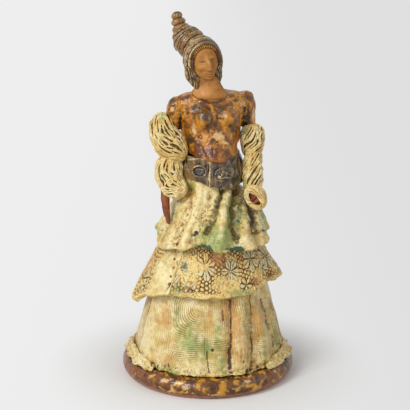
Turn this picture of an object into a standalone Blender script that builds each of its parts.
"""Hand-built ceramic figurine: a standing woman in a three-tier skirt, with a shawl over her arms.

The pieces are the clay slabs, rolls and pads that such a figure is built from: a hollow skirt core on a
disc base, slab panels in three tiers, a belt, a bodice, arms, a shawl and a wound headdress. Joints are
luted seams, modelled as a thin gap between neighbours. Metres, +Z up, the figure faces -Y, and the origin
is the centre of the base's underside.
"""

import math

import bmesh
import bpy
from mathutils import Matrix, Vector

# Seams between clay pieces
SEAM = 0.0003
PRESS_SEAM = 0.00045
WELD = 1e-6

# Base disc
BASE_RADIUS = 0.0905
BASE_HEIGHT = 0.020
BASE_EDGE_RADIUS = 0.0098
VENT_RADIUS = 0.012
BASE_STEPS = 44
BASE_EDGE_STEPS = 7

# Skirt core, a hollow cone that leans a little towards +X at the waist
CORE_FOOT_RADIUS = 0.0730
CORE_MID_RADIUS = 0.0460
CORE_TOP_RADIUS = 0.0160
CORE_WALL = 0.005
CORE_COLUMNS = 30
CORE_ROWS = 6
WAIST_HEIGHT = 0.232
WAIST_OFFSET_X = 0.003
CORE_ABOVE_WAIST = 0.011
CORE_TOP_HEIGHT = WAIST_HEIGHT + CORE_ABOVE_WAIST

# Tiers: slab thicknesses, hem heights at the front and how far one tier runs up under the next
LOWER_THICKNESS = 0.005
MIDDLE_THICKNESS = 0.005
UPPER_THICKNESS = 0.004
MIDDLE_HEM_HEIGHT = 0.0998
UPPER_HEM_HEIGHT = 0.1485
UPPER_BELOW_WAIST = 0.010
UPPER_TOP_HEIGHT = WAIST_HEIGHT - UPPER_BELOW_WAIST
TIER_OVERLAP = 0.004
LOWER_FOLD = 0.0025
MIDDLE_FOLD = 0.0015
SEAM_ANGLE = 0.45
COLUMN_ANGLE = 5.0
PANEL_ROWS = 5

# Offsets round the skirt as (angle from the front in degrees, value); positive angles are towards +X
MIDDLE_HEM_DROP = ((-140, 0.002), (-83, 0.021), (-60, 0.007), (-35, 0.0), (30, 0.0), (63, -0.005),
                   (83, -0.0048), (120, 0.001), (165, -0.002))
MIDDLE_FLARE = ((-140, 0.004), (-85, 0.0085), (-60, 0.0055), (-35, 0.0035), (0, 0.0015), (30, 0.0015),
                (63, 0.0045), (84, 0.0110), (112, 0.004), (165, 0.004))
UPPER_HEM_DROP = ((-150, 0.0), (-90, -0.006), (-66, 0.008), (-30, 0.001), (-10, -0.004), (15, 0.001),
                  (43, 0.003), (62, 0.002), (88, -0.005), (130, 0.001), (170, -0.002))
UPPER_FLARE = ((-150, 0.007), (-90, 0.0045), (-66, 0.003), (-40, 0.006), (0, 0.0085), (40, 0.0080),
               (85, 0.0080), (130, 0.007))
UPPER_BULGE = ((-150, 0.8), (-85, 1.15), (-55, 1.05), (-20, 0.8), (30, 0.65), (85, 0.5), (140, 0.7))

# Panels as (name, left edge, right edge, folds). An edge is its angle at the top and at the hem. A fold is
# its angle at the top, at the hem, and its height at the hem.
LOWER_PANELS = (
    ("lower_panel_front_left", (-72, -72), (-1, -1), ((-52, -54, 0.0022), (-14, -13, 0.0024))),
    ("lower_panel_front_centre", (-1, -1), (21.5, 17), ((10, 8, 0.0022),)),
    ("lower_panel_front_right", (21.5, 17), (45, 36), ((33, 27, 0.0048),)),
    ("lower_panel_right_front", (45, 36), (61, 62), ((53, 49, 0.0040),)),
    ("lower_panel_right", (61, 62), (108, 108), ((72, 75, 0.0044), (94, 93, 0.0034))),
    ("lower_panel_back_right", (108, 108), (178, 178), ((126, 126, 0.0024), (156, 155, 0.0022))),
    ("lower_panel_back_left", (178, 178), (242, 242), ((196, 197, 0.0024), (222, 222, 0.0022))),
    ("lower_panel_left", (-118, -118), (-72, -72), ((-94, -94, 0.0024),)),
)
MIDDLE_PANELS = (
    ("lace_flounce_front", (-31, -35), (100, 100), ((2, 2, 0.0008), (40, 42, 0.0012), (84, 84, 0.0015))),
    ("lace_flounce_back_right", (100, 100), (168, 168), ((134, 134, 0.0015),)),
    ("lace_flounce_back_left", (168, 168), (235, 235), ((202, 202, 0.0015),)),
    ("lace_flounce_left", (-125, -125), (-62, -62), ((-88, -88, 0.0015),)),
)
PLAIN_FLOUNCE = ("plain_flounce_left", (-62, -62), (-31, -35), ((-47, -48, 0.0012),))
PLAIN_FLOUNCE_STEP = 0.0022
UPPER_PANELS = (
    ("overskirt_front_left", (-58, -66), (21, -10.5), ((-42, -44, 0.0052), (-13, -28, 0.0046), (7, -16, 0.0026))),
    ("overskirt_front_right", (22, -9.6), (38, 28), ((26, 10, 0.0074),)),
    ("overskirt_right", (38, 28), (55, 56), ((47, 43, 0.0068),)),
    ("overskirt_right_rear", (55, 56), (112, 115), ((67, 68, 0.0060), (92, 92, 0.0048))),
    ("overskirt_back_right", (112, 115), (180, 180), ((128, 130, 0.0045), (158, 156, 0.0048))),
    ("overskirt_back_left", (180, 180), (248, 242), ((202, 200, 0.0048), (228, 226, 0.0042))),
    ("overskirt_left_rear", (-112, -118), (-58, -66), ((-88, -91, 0.0024),)),
)
FOLD_WIDTH = 8.0
UPPER_FOLD_START = 0.6

# Frills of the hem, strips that lie on the base: (name, first angle, last angle, waves)
HEM_FRILLS = (
    ("hem_frill_left", -112, -42, 4.5),
    ("hem_frill_right", 46, 106, 4.5),
    ("hem_frill_back", 128, 226, 7.5),
)
FRILL_THICKNESS = 0.0026
FRILL_HEIGHT = 0.0105
FRILL_REACH = 0.0040
FRILL_WAVE = 0.0026
FRILL_COLUMN_ANGLE = 2.6

# Belt: two strips that meet at the front and back and lean in above the skirt's collar, and two pads on its
# front, each by its angle, half width and half height
BELT_THICKNESS = 0.0034
BELT_LAP = 0.0010
BELT_COLUMN_ANGLE = 7.0
BELT_ABOVE_WAIST = 0.0045
BELT_WIDTH = 0.0280
BELT_TOP_HEIGHT = WAIST_HEIGHT + BELT_ABOVE_WAIST
BELT_BOTTOM_HEIGHT = BELT_TOP_HEIGHT - BELT_WIDTH
BELT_TOP_RISE = ((-180, 0.002), (-75, 0.003), (-45, 0.001), (45, 0.001), (75, 0.0), (120, 0.001))
BELT_LEAN = ((-180, 0.0045), (-70, 0.0045), (-45, 0.0015), (-20, 0.0), (25, 0.0), (50, 0.0025), (75, 0.0050),
             (120, 0.0050))
BELT_BOTTOM_RISE = ((-180, 0.003), (-54, 0.0072), (-24, 0.0045), (8, -0.001), (34, -0.0038), (70, -0.001),
                    (120, 0.003))
BELT_FRONT_ANGLE = -3.0
BELT_BACK_ANGLE = 176.0
BELT_PAD_LEFT = (-20.0, 0.0080, 0.0066)
BELT_PAD_RIGHT = (24.0, 0.0116, 0.0082)
BELT_PAD_RISE = 0.0018
BELT_PAD_TABLE = ((0.05, 0.0), (0.50, 0.0), (0.94, 0.0), (1.0, 0.35), (0.86, 0.80), (0.60, 1.0), (0.05, 1.05))

# Bodice sections: height above the waist, half width, front depth, back depth
BODICE_SECTIONS = (
    (0.0076, 0.0262, 0.0345, 0.0262),
    (0.0086, 0.0272, 0.0374, 0.0272),
    (0.0104, 0.0256, 0.0378, 0.0235),
    (0.0140, 0.0260, 0.0352, 0.0215),
    (0.0200, 0.0284, 0.0302, 0.0215),
    (0.0300, 0.0308, 0.0255, 0.0215),
    (0.0420, 0.0334, 0.0255, 0.0205),
    (0.0500, 0.0358, 0.0238, 0.0200),
    (0.0560, 0.0376, 0.0215, 0.0192),
    (0.0606, 0.0372, 0.0190, 0.0180),
    (0.0640, 0.0335, 0.0165, 0.0160),
    (0.0664, 0.0270, 0.0135, 0.0135),
    (0.0678, 0.0190, 0.0100, 0.0100),
)
BODICE_DIP = 0.0082
BODICE_DIP_HEIGHT = 0.022
BODICE_COLUMNS = 24
TORSO_TURN = 13.0
BREAST_SIDE = 0.0118
BREAST_HEIGHT = 0.0455
BREAST_RADIUS = 0.0095
BREAST_PROUD = 0.0062

# Neck, head and hood, above the waist
NECK_BASE = Vector((-0.0015, -0.0045, 0.0))
NECK_TOP = Vector((-0.0020, -0.0085, 0.0))
NECK_SECTIONS = ((0.0520, 0.0182), (0.0600, 0.0196), (0.0645, 0.0200), (0.0678, 0.0178), (0.0712, 0.0148),
                 (0.0765, 0.0120), (0.0850, 0.0098))
NECK_DEPTH_SHARE = 0.78
HEAD_CENTRE = Vector((-0.0080, -0.0050, 0.1004))
HEAD_HALF_WIDTH = 0.0150
HEAD_HALF_DEPTH = 0.0170
HEAD_HALF_HEIGHT = 0.0208
HEAD_TURN = 20.0
HEAD_TILT = 11.0
HOOD_THICKNESS = 0.0040
HOOD_JAW_ANGLE = 142.0
HOOD_NAPE_ANGLE = 176.0
HOOD_BACK_ANGLE = 166.0
FACE_HALF_ANGLE = 58.0
FRINGE_RADIUS = 0.0010
FRINGE_INSET = 0.055
FRINGE_REACH = 104.0
LAPPET_RADIUS = 0.0043
LEFT_LAPPET = (Vector((-0.0150, -0.0120, -0.0040)), Vector((-0.0128, -0.0100, -0.0150)),
               Vector((-0.0050, -0.0080, -0.0262)))
RIGHT_LAPPET = (Vector((0.0152, -0.0030, -0.0045)), Vector((0.0148, -0.0040, -0.0148)),
                Vector((0.0130, -0.0045, -0.0262)))

# Wound headdress: axis points above the waist, with the rolls and beads at shares of its length
CONE_AXIS = (
    Vector((-0.0182, 0.0060, 0.1142)),
    Vector((-0.0285, 0.0160, 0.1200)),
    Vector((-0.0315, 0.0200, 0.1300)),
    Vector((-0.0348, 0.0205, 0.1430)),
)
ROLL_SHARES = (0.05, 0.22, 0.40)
ROLL_RING_RADII = (0.0112, 0.0112, 0.0080)
ROLL_RADII = (0.0050, 0.0047, 0.0045)
FINIAL_SHARES = (0.60, 0.785, 0.955)
FINIAL_RADII = (0.0088, 0.0073, 0.0056)
FINIAL_HALF_HEIGHTS = (0.0048, 0.0044, 0.0041)

# Arms: (crown, shoulder, upper arm, elbow, wrist, fingertips) from the waist's centre
LEFT_ARM = (Vector((-0.0318, -0.0080, 0.0628)), Vector((-0.0360, -0.0078, 0.0500)),
            Vector((-0.0372, -0.0060, 0.0370)), Vector((-0.0455, 0.0005, 0.0080)),
            Vector((-0.0465, -0.0190, -0.0400)), Vector((-0.0425, -0.0285, -0.0640)))
RIGHT_ARM = (Vector((0.0325, 0.0085, 0.0655)), Vector((0.0372, 0.0082, 0.0515)),
             Vector((0.0380, 0.0080, 0.0380)), Vector((0.0435, 0.0050, 0.0070)),
             Vector((0.0445, -0.0185, -0.0270)), Vector((0.0462, -0.0260, -0.0400)))
SHOULDER_RADIUS = 0.0090
UPPER_ARM_RADIUS = 0.0073
FOREARM_RADIUS = 0.0052
WRIST_RADIUS = 0.0042
FINGERTIP_RADIUS = 0.0018
HAND_RADIUS = 0.0075

# Shawl bundles, gathered rolls: points from the waist's centre, and the roll's radius at each
SHAWL_LEFT_UPPER_PATH = (Vector((-0.0478, -0.0080, 0.0470)), Vector((-0.0482, -0.0100, 0.0290)),
                         Vector((-0.0395, -0.0130, 0.0140)), Vector((-0.0265, -0.0215, 0.0045)))
SHAWL_LEFT_UPPER_RADII = (0.0095, 0.0148, 0.0158, 0.0090)
SHAWL_LEFT_LOWER_PATH = (Vector((-0.0360, -0.0160, 0.0080)), Vector((-0.0425, -0.0140, -0.0110)),
                         Vector((-0.0385, -0.0190, -0.0250)), Vector((-0.0268, -0.0300, -0.0290)))
SHAWL_LEFT_LOWER_RADII = (0.0125, 0.0148, 0.0138, 0.0085)
SHAWL_RIGHT_UPPER_PATH = (Vector((0.0395, 0.0030, 0.0330)), Vector((0.0430, 0.0020, 0.0165)),
                          Vector((0.0400, 0.0000, -0.0005)))
SHAWL_RIGHT_UPPER_RADII = (0.0112, 0.0124, 0.0092)
SHAWL_RIGHT_LOWER_PATH = (Vector((0.0430, -0.0030, 0.0080)), Vector((0.0428, -0.0085, -0.0105)),
                          Vector((0.0428, -0.0185, -0.0325)))
SHAWL_RIGHT_LOWER_RADII = (0.0080, 0.0100, 0.0094)
SHAWL_BUNDLES = (
    ("shawl_left_upper", SHAWL_LEFT_UPPER_PATH, SHAWL_LEFT_UPPER_RADII),
    ("shawl_left_lower", SHAWL_LEFT_LOWER_PATH, SHAWL_LEFT_LOWER_RADII),
    ("shawl_right_upper", SHAWL_RIGHT_UPPER_PATH, SHAWL_RIGHT_UPPER_RADII),
    ("shawl_right_lower", SHAWL_RIGHT_LOWER_PATH, SHAWL_RIGHT_LOWER_RADII),
)
CUFF_CENTRE = Vector((0.0457, -0.0250, -0.0360))
CUFF_HALF_LENGTH = 0.0138
CUFF_HALF_WIDTH = 0.0096
CUFF_TILT = 38.0
CUFF_WALL = 0.0034
CUFF_LENGTH = 0.0150

CREAM_GLAZE = ("cream_glaze", (0.72, 0.60, 0.33), 0.35)
LACE_GLAZE = ("lace_glaze", (0.62, 0.48, 0.22), 0.35)
AMBER_GLAZE = ("amber_glaze", (0.34, 0.13, 0.03), 0.18)
BASE_GLAZE = ("base_glaze", (0.28, 0.10, 0.05), 0.20)
IRON_GLAZE = ("iron_glaze", (0.07, 0.055, 0.045), 0.28)
BRONZE_GLAZE = ("bronze_glaze", (0.24, 0.17, 0.09), 0.35)
BARE_CLAY = ("bare_clay", (0.46, 0.21, 0.08), 0.75)
RED_CLAY = ("red_clay", (0.33, 0.13, 0.07), 0.70)

PARTS = "ceramic_figurine"
CUTTERS = "ceramic_figurine_cutters"


# Scene and materials


def clear_scene():
    for obj in list(bpy.data.objects):
        bpy.data.objects.remove(obj)
    for name in (PARTS, CUTTERS):
        bpy.context.scene.collection.children.link(bpy.data.collections.new(name))


def finish_of(spec):
    name, colour, roughness = spec
    material = bpy.data.materials.get(name) or bpy.data.materials.new(name)
    material.use_nodes = True
    shader = material.node_tree.nodes["Principled BSDF"]
    shader.inputs["Base Color"].default_value = (*colour, 1.0)
    shader.inputs["Roughness"].default_value = roughness
    shader.inputs["Metallic"].default_value = 0.0
    return material


def add_piece(name, bm, finish):
    """A new part from a bmesh, shaded smooth."""
    mesh = bpy.data.meshes.new(name)
    bm.to_mesh(mesh)
    bm.free()
    mesh.shade_smooth()
    mesh.materials.append(finish_of(finish))
    obj = bpy.data.objects.new(name, mesh)
    bpy.data.collections[PARTS].objects.link(obj)
    return obj


# Shapes


def grid(columns, rows, place, wrap=False, caps=False):
    """A grid whose point at column share u and row share v is place(u, v); normals face out of a wrap."""
    bm = bmesh.new()
    bmesh.ops.create_grid(bm, x_segments=columns, y_segments=rows, size=0.5)
    for vert in bm.verts:
        vert.co = place(vert.co.x + 0.5, vert.co.y + 0.5)
    if wrap:
        bmesh.ops.remove_doubles(bm, verts=bm.verts, dist=WELD)
    if caps:
        bmesh.ops.holes_fill(bm, edges=bm.edges)
        bmesh.ops.recalc_face_normals(bm, faces=bm.faces)
    return bm


def thicken(obj, thickness, outwards=True):
    solidify = obj.modifiers.new("Slab", "SOLIDIFY")
    solidify.thickness = thickness
    solidify.offset = 1.0 if outwards else -1.0
    solidify.use_even_offset = True
    solidify.use_quality_normals = True
    return obj


def evaluated_mesh(obj):
    graph = bpy.context.evaluated_depsgraph_get()
    return bpy.data.meshes.new_from_object(obj.evaluated_get(graph))


def swollen_copy(obj):
    """A cutter: the piece as it was first shaped, grown by the seam along its normals."""
    name = obj.name + "_press"
    if name in bpy.data.objects:
        return bpy.data.objects[name]
    mesh = evaluated_mesh(obj)
    bm = bmesh.new()
    bm.from_mesh(mesh)
    bmesh.ops.remove_doubles(bm, verts=bm.verts, dist=WELD)
    bmesh.ops.recalc_face_normals(bm, faces=bm.faces)
    bm.normal_update()
    for vert, normal in [(vert, vert.normal.copy()) for vert in bm.verts]:
        vert.co += normal * PRESS_SEAM
    bm.to_mesh(mesh)
    bm.free()
    cutter = bpy.data.objects.new(name, mesh)
    cutter.hide_render = True
    cutter.display_type = "WIRE"
    bpy.data.collections[CUTTERS].objects.link(cutter)
    return cutter


def press_onto(obj, *neighbours):
    """Soft clay pressed against its neighbours: takes their shape with a seam between."""
    swollen_copy(obj)
    cutters = bpy.data.collections.new(obj.name + "_neighbours")
    for neighbour in neighbours:
        cutters.objects.link(swollen_copy(neighbour))
    cut = obj.modifiers.new("Pressed on its neighbours", "BOOLEAN")
    cut.operation = "DIFFERENCE"
    cut.operand_type = "COLLECTION"
    cut.collection = cutters
    mesh = evaluated_mesh(obj)
    obj.modifiers.clear()
    obj.data = mesh
    drop_crumbs(mesh)
    bpy.data.collections.remove(cutters)
    return obj


def drop_crumbs(mesh):
    """Keeps the largest body of a mesh and wipes away what the cuts left loose."""
    bm = bmesh.new()
    bm.from_mesh(mesh)
    bmesh.ops.remove_doubles(bm, verts=bm.verts, dist=WELD)
    waiting = set(bm.verts)
    bodies = []
    while waiting:
        body, front = set(), [next(iter(waiting))]
        while front:
            vert = front.pop()
            if vert in body:
                continue
            body.add(vert)
            front += [edge.other_vert(vert) for edge in vert.link_edges]
        waiting -= body
        bodies.append(body)

    def size(body):
        spans = [[vert.co[i] for vert in body] for i in range(3)]
        return math.prod(max(span) - min(span) for span in spans)

    largest = max(bodies, key=size)
    bmesh.ops.delete(bm, geom=[vert for vert in bm.verts if vert not in largest], context="VERTS")
    bm.to_mesh(mesh)
    bm.free()
    mesh.shade_smooth()


def smooth(t):
    return t * t * (3.0 - 2.0 * t)


def around(angle, knots):
    """Value at an angle, eased between knots of (angle, value) round a full circle."""
    ring = sorted(knots)
    ring = ring + [(ring[0][0] + 360.0, ring[0][1])]
    angle = (angle - ring[0][0]) % 360.0 + ring[0][0]
    for (a, value_a), (b, value_b) in zip(ring, ring[1:]):
        if angle <= b:
            return value_a + (value_b - value_a) * smooth((angle - a) / (b - a))
    return ring[-1][1]


def lean_x(z):
    return WAIST_OFFSET_X * min(max(z / WAIST_HEIGHT, 0.0), 1.0)


def polar(angle, radius, z):
    """A point round the skirt's axis; angle 0 is the front and 90 is +X."""
    a = math.radians(angle)
    return Vector((radius * math.sin(a) + lean_x(z), -radius * math.cos(a), z))


def from_waist(offset):
    return Vector((WAIST_OFFSET_X, 0.0, WAIST_HEIGHT)) + offset


def tube(name, points, radii, finish, columns=12, steps=4):
    """A round tapered roll through points, with domed ends."""
    spans = len(points) - 1
    rows = spans * steps + 2
    length = sum((b - a).length for a, b in zip(points, points[1:]))

    def centre(t):
        i = min(int(t * spans), spans - 1)
        share = t * spans - i
        before = points[max(i - 1, 0)]
        after = points[min(i + 2, spans)]
        a, b = points[i], points[i + 1]
        tangent_a = (b - before) * 0.5
        tangent_b = (after - a) * 0.5
        s2, s3 = share * share, share ** 3
        return (a * (2 * s3 - 3 * s2 + 1) + tangent_a * (s3 - 2 * s2 + share)
                + b * (3 * s2 - 2 * s3) + tangent_b * (s3 - s2))

    def radius(t):
        i = min(int(t * spans), spans - 1)
        full = radii[i] + (radii[i + 1] - radii[i]) * smooth(t * spans - i)
        inside = min(min(t, 1.0 - t) * length / full, 1.0)
        return full * max(math.sqrt(1.0 - (1.0 - inside) ** 2), 0.3)

    def place(u, v):
        t = (1.0 + math.cos(math.pi * v)) / 2
        along = (centre(min(t + 0.01, 1.0)) - centre(max(t - 0.01, 0.0))).normalized()
        side = along.cross(Vector((0.0, 1.0, 0.0))).normalized()
        front = along.cross(side)
        a = 2.0 * math.pi * (u % 1.0)
        return centre(t) + (side * math.cos(a) + front * math.sin(a)) * radius(t)

    return add_piece(name, grid(columns, rows, place, wrap=True, caps=True), finish)


# Base and skirt


def make_base():
    centre = BASE_RADIUS - BASE_EDGE_RADIUS
    arc = [math.radians(90 - 180 * i / BASE_EDGE_STEPS) for i in range(BASE_EDGE_STEPS + 1)]
    lift = BASE_HEIGHT / 2
    profile = [(VENT_RADIUS, BASE_HEIGHT)]
    profile += [(centre + BASE_EDGE_RADIUS * math.cos(a), lift + lift * math.sin(a)) for a in arc]
    profile += [(VENT_RADIUS, 0.0)]
    bm = bmesh.new()
    verts = [bm.verts.new((x, 0.0, z)) for x, z in profile]
    for a, b in zip(verts, verts[1:] + verts[:1]):
        bm.edges.new((a, b))
    base = add_piece("base_disc", bm, BASE_GLAZE)
    turn = base.modifiers.new("Turn", "SCREW")
    turn.steps = turn.render_steps = BASE_STEPS
    turn.use_merge_vertices = True
    turn.merge_threshold = 1e-5
    return base


def core_radius(z):
    """Outer radius of the core: a quadratic through its foot, middle and waist radii."""
    t = min((z - BASE_HEIGHT) / (WAIST_HEIGHT - BASE_HEIGHT), 1.0)
    return (CORE_FOOT_RADIUS * (1 - t) * (1 - 2 * t) + 4 * CORE_MID_RADIUS * t * (1 - t)
            + CORE_TOP_RADIUS * t * (2 * t - 1))


def make_core():
    """The hollow cone that carries the tiers; its neck stands up inside the bodice."""
    bottom = BASE_HEIGHT + SEAM
    heights = [bottom + (CORE_TOP_HEIGHT - bottom) * i / CORE_ROWS for i in range(CORE_ROWS + 1)]
    profile = [(core_radius(z), z) for z in heights]
    profile += [(core_radius(z) - CORE_WALL, z) for z in reversed(heights)]
    profile.append(profile[0])

    def place(u, v):
        radius, z = profile[round(v * (len(profile) - 1))]
        return polar(360.0 * (u % 1.0), radius, z)

    return add_piece("skirt_core", grid(CORE_COLUMNS, len(profile) - 1, place, wrap=True), RED_CLAY)


def tier_folds(panels):
    return [fold for panel in panels for fold in panel[3]]


def fold_height(angle, share, folds):
    """Height of a tier's folds at an angle; share runs from 0 at the top to 1 at the hem."""
    height = 0.0
    for top_angle, hem_angle, rise in folds:
        crest = hem_angle + (top_angle - hem_angle) * (1 - share) ** 2
        away = (angle - crest + 180.0) % 360.0 - 180.0
        height = max(height, rise * math.exp(-((away / FOLD_WIDTH) ** 2)))
    return height


def middle_hem(angle):
    return MIDDLE_HEM_HEIGHT - around(angle, MIDDLE_HEM_DROP)


def upper_hem(angle):
    return UPPER_HEM_HEIGHT - around(angle, UPPER_HEM_DROP)


def lower_radius(angle, z, share, folds):
    return core_radius(z) + SEAM + fold_height(angle, share, folds) * (0.45 + 0.55 * share)


def middle_radius(angle, z, share, folds):
    """Inner radius of the middle tier: on the core at its top, clear of the lower tier at its hem."""
    beneath = LOWER_FOLD + LOWER_THICKNESS + 2 * SEAM
    stand_off = (beneath + around(angle, MIDDLE_FLARE)) * share
    return core_radius(z) + SEAM + stand_off + fold_height(angle, share, folds) * share


def belt_bottom(angle):
    return BELT_BOTTOM_HEIGHT + around(angle, BELT_BOTTOM_RISE)


def flare_top():
    """Height where the upper tier starts to flare, low enough for its slab to clear the belt."""
    return BELT_BOTTOM_HEIGHT + min(rise for _, rise in BELT_BOTTOM_RISE) - UPPER_THICKNESS - SEAM


def upper_radius(angle, z, share, folds):
    """Inner radius of the upper tier: a collar under the belt, then a flare out over the middle tier."""
    collar = core_radius(flare_top()) + SEAM
    if z >= flare_top():
        return collar
    hem = upper_hem(angle)
    down = min((flare_top() - z) / (flare_top() - hem), 1.0)
    beneath = core_radius(hem) + MIDDLE_FOLD + MIDDLE_THICKNESS + 2 * SEAM
    reach = beneath + around(angle, UPPER_FLARE) - collar
    flare = reach * down ** around(angle, UPPER_BULGE)
    return collar + flare + fold_height(angle, share, folds) * down ** UPPER_FOLD_START


def edge_angle(edge, share):
    top_angle, hem_angle = edge
    return hem_angle + (top_angle - hem_angle) * (1 - share) ** 2


def slab(columns, rows, angle_at, inner_at, thickness):
    """A closed slab round the axis: its inner face, then its outer face a thickness further out.

    angle_at(u, v) and inner_at(angle, v) give the angle and the (radius, height) of the inner face, with v
    from 0 at the hem to 1 at the top. The offset stays in the plane through the axis, so slabs that share
    an edge never cross it.
    """
    loop = 2 * rows + 2

    def place(u, w):
        step = round(w * loop) % loop
        outside = step <= rows
        v = step / rows if outside else (loop - 1 - step) / rows
        angle = angle_at(u, v)
        radius, z = inner_at(angle, v)
        if outside:
            low = Vector(inner_at(angle, max(v - 0.02, 0.0)))
            high = Vector(inner_at(angle, min(v + 0.02, 1.0)))
            along = (high - low).normalized()
            radius += along.y * thickness
            z -= along.x * thickness
        return polar(angle, radius, z)

    return grid(columns, loop, place, wrap=True, caps=True)


def make_panel(spec, folds, radius, height, thickness, finish, proud=0.0):
    """One slab of a tier, between its two edges; height(angle, v) gives its rows from hem to top."""
    name, left, right, _ = spec
    span = max(right[0] - left[0], right[1] - left[1])
    columns = max(4, round(span / COLUMN_ANGLE))

    def angle_at(u, v):
        first = edge_angle(left, 1.0 - v) + SEAM_ANGLE
        last = edge_angle(right, 1.0 - v) - SEAM_ANGLE
        return first + (last - first) * u

    def inner_at(angle, v):
        z = height(angle, v)
        return radius(angle, z, 1.0 - v, folds) + proud * (1.0 - v), z

    return add_piece(name, slab(columns, PANEL_ROWS, angle_at, inner_at, thickness), finish)


def lower_height(angle, v):
    foot = BASE_HEIGHT + SEAM
    return foot + (middle_hem(angle) + TIER_OVERLAP - foot) * v


def middle_height(angle, v):
    return middle_hem(angle) + (upper_hem(angle) + TIER_OVERLAP - middle_hem(angle)) * v


def upper_height(angle, v):
    """The top row is the collar under the belt; the other rows share the flare below it."""
    bend = (PANEL_ROWS - 1) / PANEL_ROWS
    if v > bend:
        return flare_top() + (UPPER_TOP_HEIGHT - flare_top()) * (v - bend) / (1.0 - bend)
    return upper_hem(angle) + (flare_top() - upper_hem(angle)) * v / bend


def make_skirt():
    """The three tiers. It gives back the lower panels and the upper ones, which other pieces meet."""
    lower = [make_panel(spec, tier_folds(LOWER_PANELS), lower_radius, lower_height, LOWER_THICKNESS, CREAM_GLAZE)
             for spec in LOWER_PANELS]
    folds = tier_folds(MIDDLE_PANELS + (PLAIN_FLOUNCE,))
    for spec in MIDDLE_PANELS:
        make_panel(spec, folds, middle_radius, middle_height, MIDDLE_THICKNESS, LACE_GLAZE)
    make_panel(PLAIN_FLOUNCE, folds, middle_radius, middle_height, MIDDLE_THICKNESS, CREAM_GLAZE,
               PLAIN_FLOUNCE_STEP)
    folds = tier_folds(UPPER_PANELS)
    upper = [make_panel(spec, folds, upper_radius, upper_height, UPPER_THICKNESS, CREAM_GLAZE)
             for spec in UPPER_PANELS]
    return lower, upper


def side_of(name):
    return name.rsplit("_", 1)[1]


def make_frills(lower):
    """Wavy strips that lean on the lower tier's foot and flare out over the base."""
    clear = LOWER_FOLD + LOWER_THICKNESS + 3 * SEAM
    foot = BASE_HEIGHT + SEAM
    for name, first, last, waves in HEM_FRILLS:
        def angle_at(u, v):
            return first + (last - first) * u

        def inner_at(angle, v):
            u = (angle - first) / (last - first)
            wave = FRILL_WAVE * math.sin(2 * math.pi * waves * u)
            rise = FRILL_HEIGHT * (0.3 + 0.7 * math.sqrt(math.sin(math.pi * (0.03 + 0.94 * u))))
            z = foot + rise * v
            return core_radius(z) + clear + (FRILL_REACH + wave) * (1 - v) ** 2, z

        columns = round((last - first) / FRILL_COLUMN_ANGLE)
        frill = add_piece(name, slab(columns, 3, angle_at, inner_at, FRILL_THICKNESS), CREAM_GLAZE)
        press_onto(frill, *(panel for panel in lower if side_of(name) in panel.name))


# Belt


def belt_radius():
    """Inner radius of the belt, round the upper tier's collar."""
    return core_radius(flare_top()) + SEAM + UPPER_THICKNESS + SEAM


def make_belt():
    def strip(name, first, last, thickness):
        def angle_at(u, v):
            return first + SEAM_ANGLE * 2 + (last - first - SEAM_ANGLE * 4) * u

        def inner_at(angle, v):
            low = belt_bottom(angle)
            bend = UPPER_TOP_HEIGHT + 2 * SEAM
            top = BELT_TOP_HEIGHT + around(angle, BELT_TOP_RISE)
            lean = around(angle, BELT_LEAN)
            if v <= 0.5:
                return belt_radius(), low + (bend - low) * v * 2
            return belt_radius() - lean * (2 * v - 1), bend + (top - bend) * (2 * v - 1)

        columns = round((last - first) / BELT_COLUMN_ANGLE)
        return add_piece(name, slab(columns, 2, angle_at, inner_at, thickness), IRON_GLAZE)

    left = strip("belt_left", BELT_BACK_ANGLE - 360, BELT_FRONT_ANGLE, BELT_THICKNESS)
    right = strip("belt_right", BELT_FRONT_ANGLE, BELT_BACK_ANGLE, BELT_THICKNESS + BELT_LAP)
    return left, right


def make_belt_pad(name, pad, thickness):
    """A domed oval pad on the belt's front, over a strip of the given thickness."""
    angle, half_width, half_height = pad
    seat = belt_radius() + thickness + 2 * SEAM
    low = belt_bottom(angle)
    middle = (low + BELT_TOP_HEIGHT) / 2

    def place(u, v):
        a = 2 * math.pi * (u % 1.0)
        reach = BELT_PAD_TABLE[round(v * (len(BELT_PAD_TABLE) - 1))]
        turn = angle + math.degrees(half_width * reach[0] * math.sin(a) / seat)
        z = middle + half_height * reach[0] * math.cos(a)
        return polar(turn, seat + BELT_PAD_RISE * reach[1], z)

    bm = grid(18, len(BELT_PAD_TABLE) - 1, place, wrap=True, caps=True)
    return add_piece(name, bm, IRON_GLAZE)


# Torso


def torso_turn(point):
    """Turns a point from the torso's own frame about the waist's axis."""
    return from_waist(Matrix.Rotation(math.radians(TORSO_TURN), 3, "Z") @ point)


def make_bodice(*neighbours):
    """The torso, with a front edge that dips over the belt."""
    last = len(BODICE_SECTIONS) - 1

    def place(u, v):
        height, width, front, back = BODICE_SECTIONS[round(v * last)]
        a = 2 * math.pi * (u % 1.0)
        depth = front if math.cos(a) > 0 else back
        dip = BODICE_DIP * max(math.cos(a), 0.0) ** 2 * max(1.0 - height / BODICE_DIP_HEIGHT, 0.0)
        return torso_turn(Vector((width * math.sin(a), -depth * math.cos(a), height - dip)))

    bm = grid(BODICE_COLUMNS, last, place, wrap=True, caps=True)
    return press_onto(add_piece("bodice", bm, AMBER_GLAZE), *neighbours)


def bodice_front(height):
    """Front depth of the bodice at a height above the waist."""
    for low, high in zip(BODICE_SECTIONS, BODICE_SECTIONS[1:]):
        if low[0] <= height <= high[0]:
            return low[2] + (high[2] - low[2]) * (height - low[0]) / (high[0] - low[0])
    return BODICE_SECTIONS[-1][2]


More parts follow.
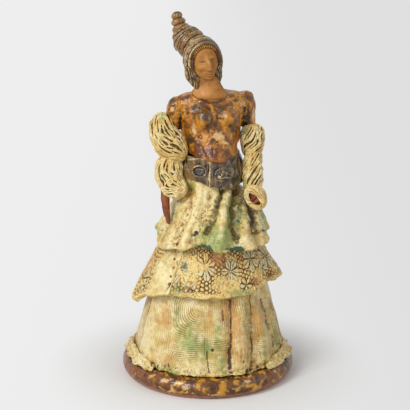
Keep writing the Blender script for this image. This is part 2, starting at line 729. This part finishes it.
def make_breast(name, side, bodice):
    centre = Vector((side, -bodice_front(BREAST_HEIGHT) + 0.0015, BREAST_HEIGHT))
    bm = bmesh.new()
    bmesh.ops.create_uvsphere(bm, u_segments=14, v_segments=8, radius=1.0)
    for vert in bm.verts:
        x, y, z = vert.co
        vert.co = torso_turn(centre + Vector((x * BREAST_RADIUS, y * BREAST_PROUD, z * BREAST_RADIUS)))
    return press_onto(add_piece(name, bm, AMBER_GLAZE), bodice)


# Head


def head_frame():
    """Rotation of the head: turned towards +X and tilted to the other side."""
    turn = Matrix.Rotation(math.radians(HEAD_TURN), 3, "Z")
    tilt = Matrix.Rotation(math.radians(-HEAD_TILT), 3, "Y")
    return turn @ tilt


def on_head(direction, grow):
    """Point of the head's ellipsoid, grown outwards, along a direction in the head's own frame."""
    size = Vector((HEAD_HALF_WIDTH + grow, HEAD_HALF_DEPTH + grow, HEAD_HALF_HEIGHT + grow))
    local = Vector(d * s for d, s in zip(direction.normalized(), size))
    return from_waist(HEAD_CENTRE) + head_frame() @ local


def make_neck(bodice):
    """The neck and the bare chest it flares into, sitting in the neckline."""
    last = len(NECK_SECTIONS) - 1

    def place(u, v):
        height, radius = NECK_SECTIONS[round(v * last)]
        a = 2 * math.pi * (u % 1.0)
        centre = NECK_BASE.lerp(NECK_TOP, v) + Vector((0.0, 0.0, height))
        return from_waist(centre + Vector((radius * math.sin(a), -NECK_DEPTH_SHARE * radius * math.cos(a), 0.0)))

    bm = grid(18, last, place, wrap=True, caps=True)
    return press_onto(add_piece("neck", bm, BARE_CLAY), bodice)


def make_head(neck):
    """An egg with a nose ridge, narrower at the chin."""
    bm = bmesh.new()
    bmesh.ops.create_uvsphere(bm, u_segments=18, v_segments=12, radius=1.0)
    for vert in bm.verts:
        x, y, z = vert.co
        jaw = 1.0 - 0.22 * max(-z, 0.0) ** 1.5
        nose = 0.0022 * math.exp(-((x / 0.16) ** 2) - ((z + 0.12) / 0.26) ** 2) if y < 0 else 0.0
        point = on_head(Vector((x, y, z)), 0.0) - from_waist(HEAD_CENTRE)
        local = head_frame().inverted() @ point
        local.x *= jaw
        local.y -= nose
        vert.co = from_waist(HEAD_CENTRE) + head_frame() @ local
    return press_onto(add_piece("head", bm, BARE_CLAY), neck)


def face_edge(around_face):
    """Angle from the face's middle to the hood's edge; around_face is 0 at the crown and pi at the chin."""
    return math.radians(FACE_HALF_ANGLE - 8 * math.cos(around_face) + 6 * math.sin(around_face) ** 2)


def hood_direction(around_face, from_face):
    return Vector((math.sin(from_face) * math.sin(around_face), -math.cos(from_face),
                   math.sin(from_face) * math.cos(around_face)))


def make_hood(neck, bodice):
    """A cap over the crown, sides and back of the head, open at the face and nearly closed at the nape."""
    back = math.radians(HOOD_BACK_ANGLE)

    def place(u, v):
        reach = math.radians(HOOD_JAW_ANGLE + (HOOD_NAPE_ANGLE - HOOD_JAW_ANGLE) * smooth(min(2.0 * v, 1.0)))
        around_face = reach * (2 * u - 1)
        start = face_edge(around_face)
        return on_head(hood_direction(around_face, start + (back - start) * v), SEAM * 2)

    hood = add_piece("hood", grid(20, 6, place), BRONZE_GLAZE)
    return press_onto(thicken(hood, HOOD_THICKNESS), neck, bodice)


def make_fringe(hood):
    """A thin roll of hair along the hood's edge, from temple to temple."""
    reach = math.radians(FRINGE_REACH)
    points = []
    for i in range(9):
        around_face = reach * (2 * i / 8 - 1)
        way = hood_direction(around_face, face_edge(around_face) - FRINGE_INSET)
        points.append(on_head(way, FRINGE_RADIUS + SEAM * 2))
    fringe = tube("hair_fringe", points, [FRINGE_RADIUS] * 9, BARE_CLAY, columns=6, steps=1)
    return press_onto(fringe, hood)


def make_lappet(name, path, neighbours):
    """A hanging side of the hood, from the temple to the base of the neck."""
    points = [from_waist(HEAD_CENTRE + offset) for offset in path]
    radii = (LAPPET_RADIUS * 0.8, LAPPET_RADIUS, LAPPET_RADIUS * 0.7)
    lappet = tube(name, points, radii, BRONZE_GLAZE, columns=9, steps=2)
    return press_onto(lappet, *neighbours)


# Headdress


def cone_point(share):
    """Point of the headdress axis, and its direction, at a share of its length."""
    def at(t):
        t = min(max(t, 0.0), 1.0)
        p, q, r, s = CONE_AXIS
        return from_waist(p * (1 - t) ** 3 + q * 3 * t * (1 - t) ** 2 + r * 3 * t * t * (1 - t) + s * t ** 3)

    return at(share), (at(share + 0.02) - at(share - 0.02)).normalized()


def make_ring(name, share, ring_radius, roll_radius):
    """One clay roll wound round the headdress axis."""
    centre, axis = cone_point(share)
    bpy.ops.mesh.primitive_torus_add(major_radius=ring_radius, minor_radius=roll_radius,
                                     major_segments=18, minor_segments=7)
    torus = bpy.context.object
    bm = bmesh.new()
    bm.from_mesh(torus.data)
    bpy.data.objects.remove(torus)
    bm.transform(Matrix.Translation(centre) @ axis.to_track_quat("Z", "Y").to_matrix().to_4x4())
    return add_piece(name, bm, BRONZE_GLAZE)


def make_bead(name, share, radius, half_height):
    centre, axis = cone_point(share)
    bm = bmesh.new()
    bmesh.ops.create_uvsphere(bm, u_segments=12, v_segments=7, radius=1.0)
    bm.transform(Matrix.Translation(centre) @ axis.to_track_quat("Z", "Y").to_matrix().to_4x4()
                 @ Matrix.Diagonal((radius, radius, half_height, 1.0)))
    return add_piece(name, bm, BRONZE_GLAZE)


def make_headdress(hood, head):
    below = [hood, head]
    for i, (share, ring_radius, roll_radius) in enumerate(zip(ROLL_SHARES, ROLL_RING_RADII, ROLL_RADII), 1):
        ring = make_ring(f"headdress_roll_{i}", share, ring_radius, roll_radius)
        press_onto(ring, *below)
        below = [ring]
    for i, (share, radius, half_height) in enumerate(zip(FINIAL_SHARES, FINIAL_RADII, FINIAL_HALF_HEIGHTS), 1):
        bead = make_bead(f"finial_bead_{i}", share, radius, half_height)
        press_onto(bead, *below)
        below = [bead]


# Arms and shawl


def make_arms(bodice, neighbours):
    arms = {}
    for side, points in (("left", LEFT_ARM), ("right", RIGHT_ARM)):
        crown, shoulder, middle, elbow, wrist, tip = (from_waist(point) for point in points)
        upper = tube(f"upper_arm_{side}", (crown, shoulder, middle, elbow),
                     (SHOULDER_RADIUS, SHOULDER_RADIUS, UPPER_ARM_RADIUS, UPPER_ARM_RADIUS * 0.9),
                     AMBER_GLAZE, columns=12, steps=2)
        press_onto(upper, bodice)
        path = (elbow, wrist, tip) if side == "left" else (elbow, (elbow + wrist) * 0.5, wrist)
        end_radius = FINGERTIP_RADIUS if side == "left" else WRIST_RADIUS
        radii = (FOREARM_RADIUS, WRIST_RADIUS, end_radius)
        forearm = tube(f"forearm_{side}", path, radii, RED_CLAY, columns=9, steps=3)
        press_onto(forearm, upper, *neighbours)
        arms[side] = (upper, forearm)
    return arms


def make_cuff(neighbours):
    """The shawl's open end, a short oval sleeve that faces the front and leans to the figure's right."""
    axis = Vector((-0.25, -1.0, -0.25)).normalized()
    side = axis.cross(Vector((0.0, 0.0, 1.0))).normalized()
    up = side.cross(axis)
    tilt = math.radians(CUFF_TILT)
    lengthwise = up * math.cos(tilt) + side * math.sin(tilt)
    across = side * math.cos(tilt) - up * math.sin(tilt)
    centre = from_waist(CUFF_CENTRE)

    def place(u, v):
        a = 2 * math.pi * (u % 1.0)
        bulge = 0.84 + 0.16 * math.sin(math.pi * v)
        ring = across * math.cos(a) * CUFF_HALF_WIDTH + lengthwise * math.sin(a) * CUFF_HALF_LENGTH
        return centre - axis * CUFF_LENGTH * (v - 0.5) + ring * bulge

    cuff = thicken(add_piece("shawl_right_cuff", grid(15, 3, place, wrap=True), CREAM_GLAZE), CUFF_WALL, False)
    return press_onto(cuff, *neighbours)


def make_hand(forearm, neighbours):
    axis = Vector((-0.25, -1.0, -0.25)).normalized()
    bm = bmesh.new()
    bmesh.ops.create_uvsphere(bm, u_segments=10, v_segments=6, radius=1.0)
    bm.transform(Matrix.Translation(from_waist(CUFF_CENTRE)) @ axis.to_track_quat("Z", "Y").to_matrix().to_4x4()
                 @ Matrix.Diagonal((HAND_RADIUS, HAND_RADIUS * 1.15, CUFF_LENGTH * 0.42, 1.0)))
    return press_onto(add_piece("hand_right", bm, RED_CLAY), forearm, *neighbours)


def main():
    clear_scene()
    make_base()
    core = make_core()
    lower, upper = make_skirt()
    make_frills(lower)
    belt_left, belt_right = make_belt()
    make_belt_pad("belt_pad_left", BELT_PAD_LEFT, BELT_THICKNESS)
    make_belt_pad("belt_pad_right", BELT_PAD_RIGHT, BELT_THICKNESS + BELT_LAP)
    bodice = make_bodice(core, belt_left, belt_right, *upper)
    make_breast("breast_left", -BREAST_SIDE, bodice)
    make_breast("breast_right", BREAST_SIDE, bodice)
    neck = make_neck(bodice)
    head = make_head(neck)
    hood = make_hood(neck, bodice)
    make_fringe(hood)
    make_lappet("hood_lappet_left", LEFT_LAPPET, (hood, head, neck, bodice))
    make_lappet("hood_lappet_right", RIGHT_LAPPET, (hood, head, neck, bodice))
    make_headdress(hood, head)
    side_panels = {
        "left": [p for p in upper if "left" in p.name],
        "right": [p for p in upper if "right" in p.name],
    }
    arms = make_arms(bodice, [belt_left, belt_right] + upper)
    bundles = []
    for name, path, radii in SHAWL_BUNDLES:
        side = "left" if "left" in name else "right"
        near = [*arms[side], bodice, belt_left, belt_right, *side_panels[side]]
        near += [b for b in bundles if side in b.name]
        points = [from_waist(point) for point in path]
        bundles.append(press_onto(tube(name, points, radii, CREAM_GLAZE, columns=14, steps=3), *near))
    cuff_near = [arms["right"][1], bundles[-1], belt_right, *side_panels["right"]]
    cuff = make_cuff(cuff_near)
    make_hand(arms["right"][1], [cuff, bundles[-1], *side_panels["right"]])


main()
